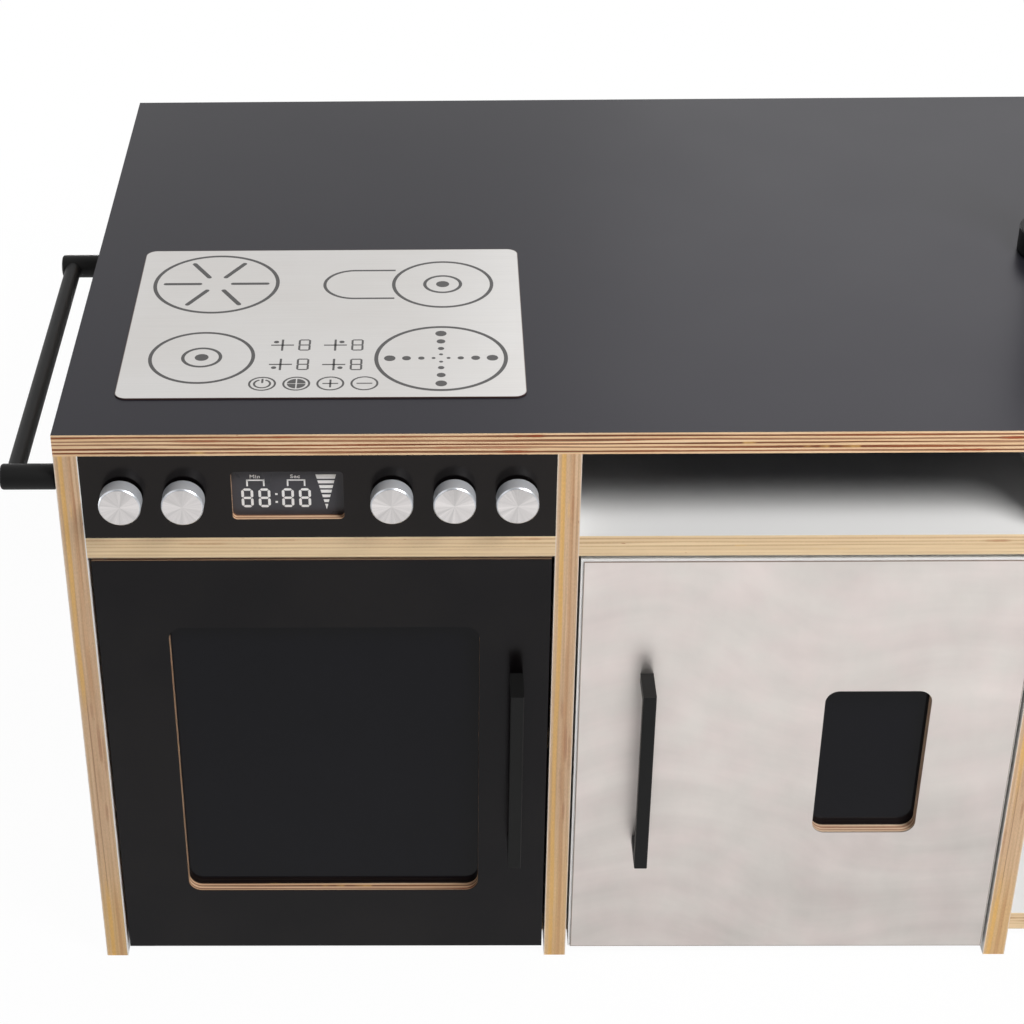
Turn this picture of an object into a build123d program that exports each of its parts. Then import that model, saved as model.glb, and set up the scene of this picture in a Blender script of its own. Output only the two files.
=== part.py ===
from build123d import *
import os

# A nursery play kitchen of laminated plywood: three bays under one worktop. The left bay is a cooker with
# a row of turning knobs and an oven door, the middle bay an open shelf over a steel faced fridge door,
# and the right bay a sink base with a tap.
# Lengths are in millimetres. In this file x runs from the worktop's left end, y from its front edge
# towards the back, and z up from the floor. The finished pieces are moved so that the origin lies in
# the middle of the footprint, on the floor.

# Carcass
depth = 600.0
height = 500.0
bay_width = 342.5
board = 17.5
back_thickness = 9.0
base_clearance = 8.0
band_height = 69.8
inner_shelf_rise = 174.8
inner_front = 21.5

# Control panel, its window and its knobs. The knobs and the window have their places along the panel as
# shares of the bay's width.
panel_thickness = 12.0
controls_below_top = 51.4
control_row = (0.0855, 0.2169, 0.6543, 0.7857, 0.9171)
window_share = 0.435
window_wide = 81.0
window_high = 40.7
window_round = 3.5
pane_set_back = 6.4
pane_ledge = 4.0
pane_thickness = 3.0
pane_play = 0.2
knob_radius = 15.3
knob_front = 15.6
knob_clearance = 2.6
knob_chamfer = 1.2
shaft_radius = 4.0
shaft_end_play = 0.3
barb_step = 0.8
barb_length = 2.4
barb_slot_width = 1.4
barb_slot_length = 8.0
running_play = 0.05

# Doors
door_gap = 2.0
door_top_gap = 4.2
door_recess = 2.0
door_foot_gap = 0.5
door_thickness = 17.5
hinge_inset = 10.0
hinge_setback = 5.5
hinge_edge_round = 6.0
oven_window_side = 52.55
oven_window_high = 261.4
fridge_window_wide = 81.1
fridge_window_high = 139.9
door_window_round = 10.5
door_window_height = 199.8
fridge_window_from_hinge = 108.5
glass_set_back = 8.5
glass_ledge = 8.0
skin_thickness = 0.8
skin_border = 2.0
skin_border_hinge = 0.6

# Door handles
handle_centres = 160.0
handle_width = 10.0
handle_bar = 8.0
handle_reach = 30.4
handle_height = 203.3
oven_handle_from_edge = 24.6
fridge_handle_from_edge = 52.7
handle_chamfer = 0.6

# Pivot hinges and magnet catches
plate_wide = 20.0
plate_thickness = 1.5
plate_length = 60.0
plate_front = 4.0
plate_corner = 5.0
pivot_radius = 2.0
pivot_reach = 12.0
pivot_hole_spare = 1.0
catch_wide = 40.0
catch_high = 12.0
catch_deep = 14.0
catch_corner = 1.5
catch_from_edge = 70.0
catch_gap = 0.3
strike_wide = 30.0
strike_high = 10.0
strike_thickness = 1.0
strike_below_top = 1.0

# Hob plate
hob_left = 39.0
hob_front = 50.0
hob_wide = 300.8
hob_deep = 240.0
hob_thickness = 1.0
hob_round = 9.0

# Towel rail
rail_post_radius = 9.5
rail_reach = 41.0
rail_bar_radius = 6.6
rail_bar_out = 31.6
rail_bar_sink = 6.0
rail_drop = 41.0
rail_front = 11.0
rail_centres = 336.0

# Sink bowl
sink_from_divider = 100.5
sink_from_end = 30.0
sink_back = 283.0
sink_deep = 276.0
sink_round = 30.0
sink_rim = 12.0
sink_depth = 80.0
sink_sheet = 1.2
sink_cutout_play = 2.0

# Tap
tap_from_divider = 41.5
tap_back = 283.0
tap_foot_radius = 36.0
tap_foot_height = 20.0
tap_body_radius = 22.0
tap_body_height = 56.0
tap_socket_depth = 24.0
tap_stem_radius = 14.0
tap_tail_radius = 10.0
tap_tail_length = 30.0
tap_hole_play = 1.0
spout_gap = 0.3
spout_pillar_radius = 16.0
spout_arm_radius = 9.0
spout_arm_height = 138.0
spout_arm_crown = 4.0
spout_reach = 160.0
spout_drop = 34.0

# Places that follow from the sizes above
panel_lefts = [i * (bay_width + board) for i in range(4)]
bay_lefts = [left + board for left in panel_lefts[:3]]
length = panel_lefts[3] + board
worktop_under = height - board
band_board_top = worktop_under - band_height
band_board_under = band_board_top - board
base_top = base_clearance + board
inner_shelf_under = base_top + inner_shelf_rise
controls_height = height - controls_below_top
back_front = depth - back_thickness
door_foot = base_clearance + door_foot_gap
door_top = band_board_under - door_top_gap
door_width = bay_width - 2 * door_gap
door_back = door_recess + door_thickness
hinge_y = door_recess + hinge_setback
oven_door_left = bay_lefts[0] + door_gap
fridge_door_left = bay_lefts[1] + door_gap
oven_hinge_x = oven_door_left + hinge_inset
fridge_hinge_x = fridge_door_left + door_width - hinge_inset
oven_window_wide = door_width - 2 * oven_window_side
oven_window_x = oven_door_left + door_width / 2
fridge_window_x = fridge_door_left + door_width - fridge_window_from_hinge
oven_catch_x = oven_door_left + door_width - catch_from_edge
fridge_catch_x = fridge_door_left + catch_from_edge
knob_places = [bay_lefts[0] + share * bay_width for share in control_row]
window_middle = bay_lefts[0] + window_share * bay_width
sink_wide = bay_width - sink_from_divider - sink_from_end
sink_x = bay_lefts[2] + sink_from_divider + sink_wide / 2
tap_x = bay_lefts[2] + tap_from_divider
rail_height = height - rail_drop
handle_front = door_recess - skin_thickness - handle_reach
middle_x = (length - rail_reach) / 2
middle_y = (depth + handle_front) / 2


def block(x0, x1, y0, y1, z0, z1):
    """A box between two opposite corners."""
    return Pos((x0 + x1) / 2, (y0 + y1) / 2, (z0 + z1) / 2) * Box(x1 - x0, y1 - y0, z1 - z0)


def rod_x(x0, x1, y, z, radius):
    """A round rod that runs along x."""
    return Pos((x0 + x1) / 2, y, z) * Rot(0, 90, 0) * Cylinder(radius, x1 - x0)


def rod_y(x, y0, y1, z, radius):
    """A round rod that runs along y."""
    return Pos(x, (y0 + y1) / 2, z) * Rot(90, 0, 0) * Cylinder(radius, y1 - y0)


def rod_z(x, y, z0, z1, radius):
    """A round rod that stands upright."""
    return Pos(x, y, (z0 + z1) / 2) * Cylinder(radius, z1 - z0)


def upright_plate(x, z, wide, high, corner, y0, y1):
    """A plate with rounded corners that faces the front, from y0 to y1."""
    face = Plane(origin=(x, y1, z), x_dir=(1, 0, 0), z_dir=(0, -1, 0)) * RectangleRounded(wide, high, corner)
    return extrude(face, amount=y1 - y0)


def level_plate(wide, deep, corner, z0, z1):
    """A level plate with rounded corners round the origin, from z0 to z1."""
    return extrude(Plane(origin=(0, 0, z0)) * RectangleRounded(wide, deep, corner), amount=z1 - z0)


def turned(points):
    """A solid turned about the z axis from an outline of (radius, height) points."""
    outline = Plane.XZ * make_face(Polyline(*points, close=True))
    return revolve(outline, Axis.Z)


def facing_front(x, z, shape):
    """Points a shape that was turned about z towards the front, its zero height on the front plane."""
    return Pos(x, 0, z) * Rot(90, 0, 0) * shape


def cut(shape, tools):
    """Takes each of the tools out of the shape."""
    for tool in tools:
        shape = shape - tool
    return shape


def save(name, *pieces):
    """Moves one sub-part into the finished frame and writes it as one solid or a group of them."""
    solids = [Pos(-middle_x, -middle_y, 0) * solid for piece in pieces for solid in piece.solids()]
    group = Compound(children=solids) if len(solids) > 1 else solids[0]
    export_step(group, os.path.join("parts", name + ".step"))


def make_worktop():
    """The laminated top, with the cut-out for the bowl and the hole for the tap."""
    top = block(0, length, 0, depth, worktop_under, height)
    play = 2 * sink_cutout_play
    bowl_hole = level_plate(sink_wide + play, sink_deep + play, sink_round, worktop_under, height)
    tap_hole = rod_z(tap_x, tap_back, worktop_under, height, tap_tail_radius + tap_hole_play)
    save("worktop", cut(top, [Pos(sink_x, sink_back, 0) * bowl_hole, tap_hole]))


def make_panels():
    """The two ends and the two dividers that carry the worktop and stand on the floor."""
    names = ("side_panel_left", "divider_left", "divider_right", "side_panel_right")
    for name, left in zip(names, panel_lefts):
        save(name, block(left, left + board, 0, depth, 0, worktop_under))


def make_boards():
    """The level boards between the panels: base boards, inner shelves and the two that roof the doors."""
    levels = (
        ("base_board", (0, 1, 2), inner_front, base_clearance),
        ("inner_shelf", (0, 1), inner_front, inner_shelf_under),
        ("roof_board", (0, 1), 0, band_board_under),
    )
    bays = ("oven", "fridge", "sink")
    for kind, places, front, under in levels:
        for bay in places:
            left = bay_lefts[bay]
            level = block(left, left + bay_width, front, back_front, under, under + board)
            save(f"{bays[bay]}_{kind}", level)


def make_backs():
    """The thin panels that close the three bays behind."""
    for name, left in zip(("oven", "fridge", "sink"), bay_lefts):
        back = block(left, left + bay_width, back_front, depth, base_clearance, worktop_under)
        save(f"{name}_back_panel", back)


def make_control_panel():
    """The black band with its display window, the rebate behind that, and five shaft holes."""
    left = bay_lefts[0]
    panel = block(left, left + bay_width, 0, panel_thickness, band_board_top, worktop_under)
    place = (window_middle, controls_height)
    window = upright_plate(*place, window_wide, window_high, window_round, 0, panel_thickness)
    wide = window_wide + 2 * pane_ledge
    high = window_high + 2 * pane_ledge
    corner = window_round + pane_ledge
    rebate = upright_plate(*place, wide, high, corner, pane_set_back, panel_thickness)
    hole_radius = shaft_radius + running_play
    shaft_holes = [rod_y(x, 0, panel_thickness, controls_height, hole_radius) for x in knob_places]
    save("control_panel", cut(panel, [window, rebate] + shaft_holes))
    size = (wide - 2 * pane_play, high - 2 * pane_play, corner - pane_play)
    save("display_pane", upright_plate(*place, *size, pane_set_back, pane_set_back + pane_thickness))


def make_knob_cap():
    """The turned aluminium cap with its bright chamfer."""
    shoulder = knob_front - knob_chamfer
    return turned(
        [
            (0, knob_clearance),
            (knob_radius, knob_clearance),
            (knob_radius, shoulder),
            (knob_radius - knob_chamfer, knob_front),
            (0, knob_front),
        ]
    )


def make_knob_shaft():
    """The black shaft behind a cap, whose split barb snaps in behind the panel and lets it turn."""
    barb = -panel_thickness - shaft_end_play
    tip = barb - barb_length
    reach = shaft_radius + barb_step
    body = turned(
        [
            (0, knob_clearance),
            (shaft_radius, knob_clearance),
            (shaft_radius, barb),
            (reach, barb),
            (reach, tip),
            (0, tip),
        ]
    )
    half = barb_slot_width / 2
    return body - block(-half, half, -reach, reach, tip, tip + barb_slot_length)


def make_knobs():
    """Five alike knobs, each a cap on its own shaft."""
    cap = make_knob_cap()
    shaft = make_knob_shaft()
    for number, x in enumerate(knob_places, start=1):
        save(f"knob_{number}_cap", facing_front(x, controls_height, cap))
        save(f"knob_{number}_shaft", facing_front(x, controls_height, shaft))


def make_door_core(left, hinge_edge, hinge_x, window_x, wide, high):
    """A plywood door with its window, the rebate behind that, a rounded hinge edge and two pivot holes."""
    door = block(left, left + door_width, door_recess, door_back, door_foot, door_top)
    edges = door.edges().filter_by(Axis.Z)
    rear_edge = min(edges, key=lambda e: abs(e.center().X - hinge_edge) + abs(e.center().Y - door_back))
    door = fillet(rear_edge, hinge_edge_round)
    place = (window_x, door_window_height)
    window = upright_plate(*place, wide, high, door_window_round, door_recess, door_back)
    size = (wide + 2 * glass_ledge, high + 2 * glass_ledge, door_window_round + glass_ledge)
    rebate = upright_plate(*place, *size, door_recess + glass_set_back, door_back)
    hole_radius = pivot_radius + running_play
    hole_depth = pivot_reach + pivot_hole_spare
    low = rod_z(hinge_x, hinge_y, door_foot, door_foot + hole_depth, hole_radius)
    high_hole = rod_z(hinge_x, hinge_y, door_top - hole_depth, door_top, hole_radius)
    return cut(door, [window, rebate, low, high_hole])


def make_glass(x, wide, high):
    """The dark pane that lies in the rebate behind a door's window."""
    ledge = glass_ledge - pane_play
    size = (wide + 2 * ledge, high + 2 * ledge, door_window_round + ledge)
    front = door_recess + glass_set_back
    return upright_plate(x, door_window_height, *size, front, front + pane_thickness)


def make_handle(x, face):
    """A flat bar bent square into a D that stands on the door's face."""
    half = handle_centres / 2 + handle_bar / 2
    front = face - handle_reach
    x0 = x - handle_width / 2
    x1 = x + handle_width / 2
    low = handle_height - half
    high = handle_height + half
    outer = block(x0, x1, front, face, low, high)
    inner = block(x0, x1, front + handle_bar, face, low + handle_bar, high - handle_bar)
    bow = outer - inner
    rims = [e for e in bow.edges().filter_by(Axis.Z) if e.center().Y < front + handle_chamfer]
    return chamfer(rims, handle_chamfer)


def make_strike(x):
    """The small steel plate on a door's back that its magnet holds."""
    half = strike_wide / 2
    top = door_top - strike_below_top
    return block(x - half, x + half, door_back, door_back + strike_thickness, top - strike_high, top)


def make_oven_door():
    """Every piece that swings with the oven door."""
    window = (oven_window_x, oven_window_wide, oven_window_high)
    handle_x = oven_door_left + door_width - oven_handle_from_edge
    save("oven_door", make_door_core(oven_door_left, oven_door_left, oven_hinge_x, *window))
    save("oven_window", make_glass(*window))
    save("oven_handle", make_handle(handle_x, door_recess))
    save("oven_strike_plate", make_strike(oven_catch_x))


def make_skin():
    """The steel sheet on the fridge door, cut out for the window."""
    face = door_recess - skin_thickness
    left = fridge_door_left + skin_border
    right = fridge_door_left + door_width - skin_border_hinge
    sheet = block(left, right, face, door_recess, door_foot, door_top - skin_border)
    size = (fridge_window_wide, fridge_window_high, door_window_round)
    return sheet - upright_plate(fridge_window_x, door_window_height, *size, face, door_recess)


def make_fridge_door():
    """Every piece that swings with the steel faced door."""
    window = (fridge_window_x, fridge_window_wide, fridge_window_high)
    hinge_edge = fridge_door_left + door_width
    handle_x = fridge_door_left + fridge_handle_from_edge
    save("fridge_door", make_door_core(fridge_door_left, hinge_edge, fridge_hinge_x, *window))
    save("fridge_door_skin", make_skin())
    save("fridge_window", make_glass(*window))
    save("fridge_handle", make_handle(handle_x, door_recess - skin_thickness))
    save("fridge_strike_plate", make_strike(fridge_catch_x))


def make_pivot_plate(x, low, pin_low, pin_high):
    """A pivot plate, flat against the underside of a board, with the pin that stands in it."""
    half = plate_wide / 2
    plate = block(x - half, x + half, plate_front, plate_front + plate_length, low, low + plate_thickness)
    rear = plate.edges().filter_by(Axis.Z).sort_by(Axis.Y)[2:]
    return chamfer(rear, plate_corner) + rod_z(x, hinge_y, pin_low, pin_high, pivot_radius)


def make_hinges():
    """Two pivot plates to a door: one under the base board and one under the roof board."""
    low = base_clearance - plate_thickness
    high = band_board_under - plate_thickness
    for name, x in (("oven", oven_hinge_x), ("fridge", fridge_hinge_x)):
        foot = make_pivot_plate(x, low, low, door_foot + pivot_reach)
        head = make_pivot_plate(x, high, door_top - pivot_reach, band_board_under)
        save(f"{name}_hinge_plates", foot, head)


def make_catches():
    """The magnet blocks under the two roof boards, just behind the closed doors."""
    front = door_back + strike_thickness + catch_gap
    low = band_board_under - catch_high
    for name, x in (("oven", oven_catch_x), ("fridge", fridge_catch_x)):
        half = catch_wide / 2
        body = block(x - half, x + half, front, front + catch_deep, low, band_board_under)
        save(f"{name}_magnet_catch", chamfer(body.edges().filter_by(Axis.Z), catch_corner))


def make_hob():
    """The thin steel plate on the worktop that carries the printed hob."""
    plate = level_plate(hob_wide, hob_deep, hob_round, height, height + hob_thickness)
    save("hob_plate", Pos(hob_left + hob_wide / 2, hob_front + hob_deep / 2, 0) * plate)


def make_rail():
    """The towel rail: a bar whose ends are let into two posts on the left panel."""
    first = rail_front
    last = rail_front + rail_centres
    inner = first + rail_post_radius - rail_bar_sink
    outer = last - rail_post_radius + rail_bar_sink
    bar = rod_y(-rail_bar_out, inner, outer, rail_height, rail_bar_radius)
    posts = []
    for y in (first, last):
        posts.append(rod_x(-rail_reach, 0, y, rail_height, rail_post_radius) - bar)
    save("rail_posts", *posts)
    save("rail_bar", bar)


def make_sink():
    """A folded steel basin that hangs by its rim in the worktop."""
    skin = 2 * sink_sheet
    rim_wide = sink_wide + 2 * sink_rim
    rim_deep = sink_deep + 2 * sink_rim
    rim = level_plate(rim_wide, rim_deep, sink_round + sink_rim - skin, 0, sink_sheet)
    tub = level_plate(sink_wide, sink_deep, sink_round, -sink_depth, sink_sheet)
    inside_corner = sink_round - sink_sheet
    inside_floor = sink_sheet - sink_depth
    inside = level_plate(sink_wide - skin, sink_deep - skin, inside_corner, inside_floor, sink_sheet)
    save("sink_basin", Pos(sink_x, sink_back, height) * (rim + tub - inside))


def make_tap_base():
    """The tap's foot and body in one, with the spout's socket and the tail that goes through the worktop."""
    socket = tap_stem_radius + running_play
    floor = tap_body_height - tap_socket_depth
    return turned(
        [
            (0, -tap_tail_length),
            (tap_tail_radius, -tap_tail_length),
            (tap_tail_radius, 0),
            (tap_foot_radius, 0),
            (tap_foot_radius, tap_foot_height),
            (tap_body_radius, tap_foot_height),
            (tap_body_radius, tap_body_height),
            (socket, tap_body_height),
            (socket, floor),
            (0, floor),
        ]
    )


def make_spout():
    """The stem that turns in the body, the pillar above it and the arm that reaches over the basin."""
    stem_low = tap_body_height - tap_socket_depth + spout_gap
    seat = tap_body_height + spout_gap
    crown = spout_arm_height + spout_arm_radius + spout_arm_crown
    stem = rod_z(0, 0, stem_low, seat, tap_stem_radius)
    pillar = rod_z(0, 0, seat, crown, spout_pillar_radius)
    corners = [
        (0, 0, spout_arm_height),
        (spout_reach, 0, spout_arm_height),
        (spout_reach, 0, spout_arm_height - spout_drop),
    ]
    section = Plane(origin=corners[0], z_dir=(1, 0, 0)) * Circle(spout_arm_radius)
    arm = sweep(section, path=Polyline(*corners), transition=Transition.RIGHT)
    return stem + pillar + arm


def make_tap():
    """The tap: a fixed base and a swivelling spout."""
    place = Pos(tap_x, tap_back, height)
    save("tap_base", place * make_tap_base())
    save("tap_spout", place * make_spout())


os.makedirs("parts", exist_ok=True)
make_worktop()
make_panels()
make_boards()
make_backs()
make_control_panel()
make_knobs()
make_oven_door()
make_fridge_door()
make_hinges()
make_catches()
make_hob()
make_rail()
make_sink()
make_tap()
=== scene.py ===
import math

import bmesh
import bpy
import numpy as np
from mathutils import Matrix, Vector


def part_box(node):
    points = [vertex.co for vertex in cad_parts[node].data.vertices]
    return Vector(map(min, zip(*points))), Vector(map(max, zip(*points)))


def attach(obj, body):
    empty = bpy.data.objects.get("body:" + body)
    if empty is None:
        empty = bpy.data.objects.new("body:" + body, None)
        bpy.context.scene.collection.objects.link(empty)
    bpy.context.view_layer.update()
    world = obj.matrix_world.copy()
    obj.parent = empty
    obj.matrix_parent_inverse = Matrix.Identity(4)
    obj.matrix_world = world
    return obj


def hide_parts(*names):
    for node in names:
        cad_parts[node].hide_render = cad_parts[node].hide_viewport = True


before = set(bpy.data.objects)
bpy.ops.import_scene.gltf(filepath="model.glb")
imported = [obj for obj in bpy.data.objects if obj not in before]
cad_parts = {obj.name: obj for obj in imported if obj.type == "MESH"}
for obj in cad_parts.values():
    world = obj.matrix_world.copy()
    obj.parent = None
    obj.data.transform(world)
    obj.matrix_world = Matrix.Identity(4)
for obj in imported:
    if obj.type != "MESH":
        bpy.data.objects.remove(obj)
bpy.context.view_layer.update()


# Worktop. One board of eleven-ply birch under a matt charcoal laminate. Its edges are left bare, so that
# the plies show as stripes, with the odd reddish streak and knot. It lies on the four panels.

class Reading:
    """One value, colour or vector of a finish, which formulas take as they take a number."""

    def __init__(self, finish, socket):
        self.finish = finish
        self.socket = socket

    def __add__(self, other):
        return self.finish.sum("ADD", self, other)

    def __radd__(self, other):
        return self.finish.sum("ADD", other, self)

    def __sub__(self, other):
        return self.finish.sum("SUBTRACT", self, other)

    def __rsub__(self, other):
        return self.finish.sum("SUBTRACT", other, self)

    def __mul__(self, other):
        return self.finish.sum("MULTIPLY", self, other)

    def __rmul__(self, other):
        return self.finish.sum("MULTIPLY", other, self)

    def __truediv__(self, other):
        return self.finish.sum("DIVIDE", self, other)

    def __gt__(self, other):
        return self.finish.sum("GREATER_THAN", self, other)

    def __lt__(self, other):
        return self.finish.sum("LESS_THAN", self, other)

    def __abs__(self):
        return self.finish.sum("ABSOLUTE", self, 0)


class Finish:
    """One material, whose nodes are written as formulas and feed the sockets of its shader."""

    def __init__(self, name, roughness=0.5, metallic=0.0):
        """Roughness and metallic are even all over, unless they are painted later."""
        self.material = bpy.data.materials.new(name)
        self.material.use_nodes = True
        self.tree = self.material.node_tree
        self.shader = self.tree.nodes["Principled BSDF"]
        self.paint("Roughness", roughness)
        self.paint("Metallic", metallic)

    def node(self, kind, settings, values, output=0):
        """Adds one node, makes its settings, then gives its sockets their values or links."""
        made = self.tree.nodes.new("ShaderNode" + kind)
        for name, setting in settings.items():
            setattr(made, name, setting)
        for socket, value in values.items():
            if isinstance(value, Reading):
                self.tree.links.new(value.socket, made.inputs[socket])
            else:
                made.inputs[socket].default_value = value
        return Reading(self, made.outputs[output])

    def sum(self, operation, first, second):
        """A Math node on two numbers."""
        return self.node("Math", {"operation": operation}, {0: first, 1: second})

    def whole(self, value):
        """The whole part of a number."""
        return self.sum("FLOOR", value, 0)

    def rest(self, value):
        """What a number has beyond its whole part."""
        return self.sum("FRACT", value, 0)

    def root(self, value):
        """The square root of a number."""
        return self.sum("SQRT", value, 0)

    def place(self):
        """Where the point is on the piece at rest, as x, y and z in metres."""
        return self.node("TexCoord", {}, {}, output="Object")

    def facing(self):
        """Which way the surface faces, on the piece at rest."""
        return self.node("TexCoord", {}, {}, output="Normal")

    def parts(self, vector):
        """The three numbers of a vector."""
        first = self.node("SeparateXYZ", {}, {0: vector})
        return [Reading(self, socket) for socket in first.socket.node.outputs]

    def vector(self, x, y, z):
        """Three numbers as one vector."""
        return self.node("CombineXYZ", {}, {0: x, 1: y, 2: z})

    def ramp(self, value, low, high):
        """0 below low and 1 above high, with a soft step between. A low above high turns it round."""
        return self.node("MapRange", {"interpolation_type": "SMOOTHSTEP"}, {0: value, 1: low, 2: high})

    def square_to(self, axis):
        """1 on the faces square to an axis and 0 on the others. The axis is 0 for x, 1 for y, 2 for z."""
        return self.ramp(abs(self.parts(self.facing())[axis]), 0.3, 0.7)

    def cloud(self, vector, scale, detail):
        """Soft noise round 0.5, whose lumps are one over scale across. More detail roughens it."""
        return self.node("TexNoise", {}, {"Vector": vector, "Scale": scale, "Detail": detail})

    def noise(self, x, y, z, detail):
        """The same noise over three numbers, each with its own scale already in it."""
        return self.cloud(self.vector(x, y, z), 1, detail)

    def blend(self, share, below, above):
        """The first colour where share is 0 and the second where it is 1."""
        return self.node("Mix", {"data_type": "RGBA"}, {0: share, 6: below, 7: above}, output=2)

    def shade(self, colour, share):
        """A colour or vector times a number."""
        return self.node("VectorMath", {"operation": "SCALE"}, {0: colour, "Scale": share})

    def bump(self, height, depth):
        """A surface raised by depth, in metres, where height is 1."""
        return self.node("Bump", {}, {"Height": height, "Distance": depth, "Strength": 1.0})

    def paint(self, socket, value):
        """Gives one socket of the shader its value or link."""
        if isinstance(value, Reading):
            self.tree.links.new(value.socket, self.shader.inputs[socket])
        else:
            self.shader.inputs[socket].default_value = value


def tint(red, green, blue):
    """A colour as it looks on a screen, 0 to 255, as the shader's linear numbers."""
    shown = np.array([red, green, blue]) / 255
    linear = np.where(shown <= 0.04045, shown / 12.92, ((shown + 0.055) / 1.055) ** 2.4)
    return (*linear.tolist(), 1.0)


def dress(finish, *names):
    """Gives CAD nodes their finish."""
    for name in names:
        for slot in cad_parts[name].material_slots:
            slot.material = finish.material


def bare_ply(finish, through, along, plies, pale, dark, ruddy, contrast=1.0, wide=0.21):
    """A plywood edge's colour: through runs 0 to 1 from face to face and is cut into plies, which bend a
    little along the edge, but not at the faces. Every second ply is end grain: thinner, darker, of uneven
    thickness and speckled, with ruddy streaks, and yellow where it breaks up. Fibres run along the others,
    and small dark knots lie here and there."""
    bend = (finish.noise(along * 5, through * 3, 0, detail=3) - 0.5) * 2.4
    depth = through * plies + bend * through * (1 - through) * 4
    ply = finish.whole(depth)
    pair = finish.whole(depth / 2 - 0.25)
    beat = abs(finish.rest(depth / 2 - 0.25) - 0.5)
    streak = finish.ramp(finish.noise(along * 9, pair * 9.1, 4, detail=5), 0.57, 0.65)
    uneven = finish.noise(along * 14, pair * 3.7, 2, detail=4) - 0.5
    clear = finish.ramp(finish.noise(along * 3, pair * 2.9, 7, detail=2), 0.25, 0.6)
    half = wide + uneven * 0.2 + streak * 0.12
    end_grain = finish.ramp(beat, half + 0.03, half - 0.03) * (clear * 0.35 + 0.65) * contrast
    patch = finish.noise(along * 6, ply * 5.3, 0, detail=3)
    fibre = finish.noise(along * 40, through * 60, ply, detail=3)
    pore = finish.noise(along * 500, through * 30, ply, detail=3)
    long_grain = finish.blend(finish.ramp(patch, 0.3, 0.7), pale[0], pale[1])
    long_grain = finish.shade(long_grain, 0.84 + fibre * 0.32)
    short_grain = finish.blend(finish.ramp(patch, 0.35, 0.65), dark[0], dark[1])
    short_grain = finish.shade(finish.blend(streak, short_grain, ruddy), 0.6 + pore * 0.8)
    broken = finish.noise(along * 16, pair * 6.3, 9, detail=4)
    short_grain = finish.blend(finish.ramp(broken, 0.63, 0.7), short_grain, tint(222, 176, 104))
    wood = finish.blend(end_grain, long_grain, short_grain)
    knot = finish.noise(along * 90, depth * 0.8, 6, detail=1)
    return finish.blend(finish.ramp(knot, 0.77, 0.81), wood, ruddy)


worktop_low, worktop_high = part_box("worktop")
board_plies = 11
charcoal = Finish("charcoal_worktop")
x, y, z = charcoal.parts(charcoal.place())
sideways = 1 - charcoal.square_to(2)
speck = charcoal.cloud(charcoal.place(), 1400, 2)
smear = charcoal.cloud(charcoal.place(), 7, 4)
sheet = charcoal.blend(speck, tint(26, 25, 31), tint(36, 35, 41))
sheet = charcoal.shade(sheet, 0.95 + smear * 0.1)
edge = bare_ply(
    charcoal,
    through=(z - worktop_low.z) / (worktop_high.z - worktop_low.z),
    along=x + y,
    plies=board_plies,
    pale=(tint(243, 211, 172), tint(230, 192, 149)),
    dark=(tint(150, 89, 57), tint(114, 68, 45)),
    ruddy=tint(150, 58, 24),
    wide=0.24,
)
charcoal.paint("Base Color", charcoal.blend(sideways, sheet, edge))
charcoal.paint("Roughness", 0.3 + sideways * 0.25 + (smear - 0.5) * 0.1)
charcoal.paint("Normal", charcoal.bump(speck, 0.00002))
charcoal.paint("Specular IOR Level", 0.2)
charcoal.paint("Specular Tint", (0.9, 0.86, 1.0, 1.0))
dress(charcoal, "worktop")


# End panels and dividers. Four upright boards of the same plywood, faced with white laminate on both
# sides. Their edges are bare, with the laminate's own edge as a fine white line at either side.

def white_face(finish):
    """White laminate: almost plain, with faint smears and a very fine orange-peel surface."""
    smear = finish.cloud(finish.place(), 5, 4)
    peel = finish.cloud(finish.place(), 900, 1)
    finish.paint("Roughness", 0.36 + smear * 0.12)
    finish.paint("Normal", finish.bump(peel, 0.000015))
    return finish.blend(smear, tint(232, 231, 229), tint(224, 223, 222))


panel_low, panel_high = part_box("side_panel_left")
panel_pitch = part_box("divider_left")[0].x - panel_low.x
upright = Finish("white_upright")
x, y, z = upright.parts(upright.place())
through = upright.rest((x - panel_low.x) / panel_pitch)
through = through * (panel_pitch / (panel_high.x - panel_low.x))
edge = bare_ply(
    upright,
    through=through,
    along=z + y,
    plies=board_plies,
    pale=(tint(222, 190, 154), tint(206, 170, 134)),
    dark=(tint(200, 160, 122), tint(184, 142, 106)),
    ruddy=tint(150, 80, 44),
    contrast=0.5,
)
drift = (upright.noise(x * 3, z * 3 + y, 0, detail=3) - 0.5) * 0.5
lasting = upright.noise(x * 4, z * 4 + y, 5, detail=4)
near_floor = upright.ramp(z - panel_low.z, 0.17, 0.04)
edge = upright.blend(near_floor * upright.ramp(lasting, 0.3, 0.6) * 0.45, edge, tint(222, 178, 104))
yellow = upright.ramp(abs(through - 0.27 + drift), 0.13, 0.05)
edge = upright.blend(yellow * upright.ramp(lasting, 0.4, 0.56) * 0.75, edge, tint(228, 178, 92))
tawny = upright.ramp(abs(through - 0.64 + drift), 0.12, 0.04)
edge = upright.blend(tawny * upright.ramp(lasting, 0.4, 0.56) * 0.45, edge, tint(186, 128, 78))
crack = upright.ramp(abs(through - 0.34 + drift * 0.5), 0.03, 0.01)
edge = upright.blend(crack * upright.ramp(lasting, 0.52, 0.44) * 0.6, edge, tint(146, 98, 68))
knot = upright.noise(x * 200, (z + y) * 34, 3, detail=2)
edge = upright.blend(upright.ramp(knot, 0.75, 0.8), edge, tint(112, 52, 30))
fleck = upright.noise(x * 1500, y * 1500, z * 420, detail=3)
edge = upright.shade(edge, 0.8 + fleck * 0.42)
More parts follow.
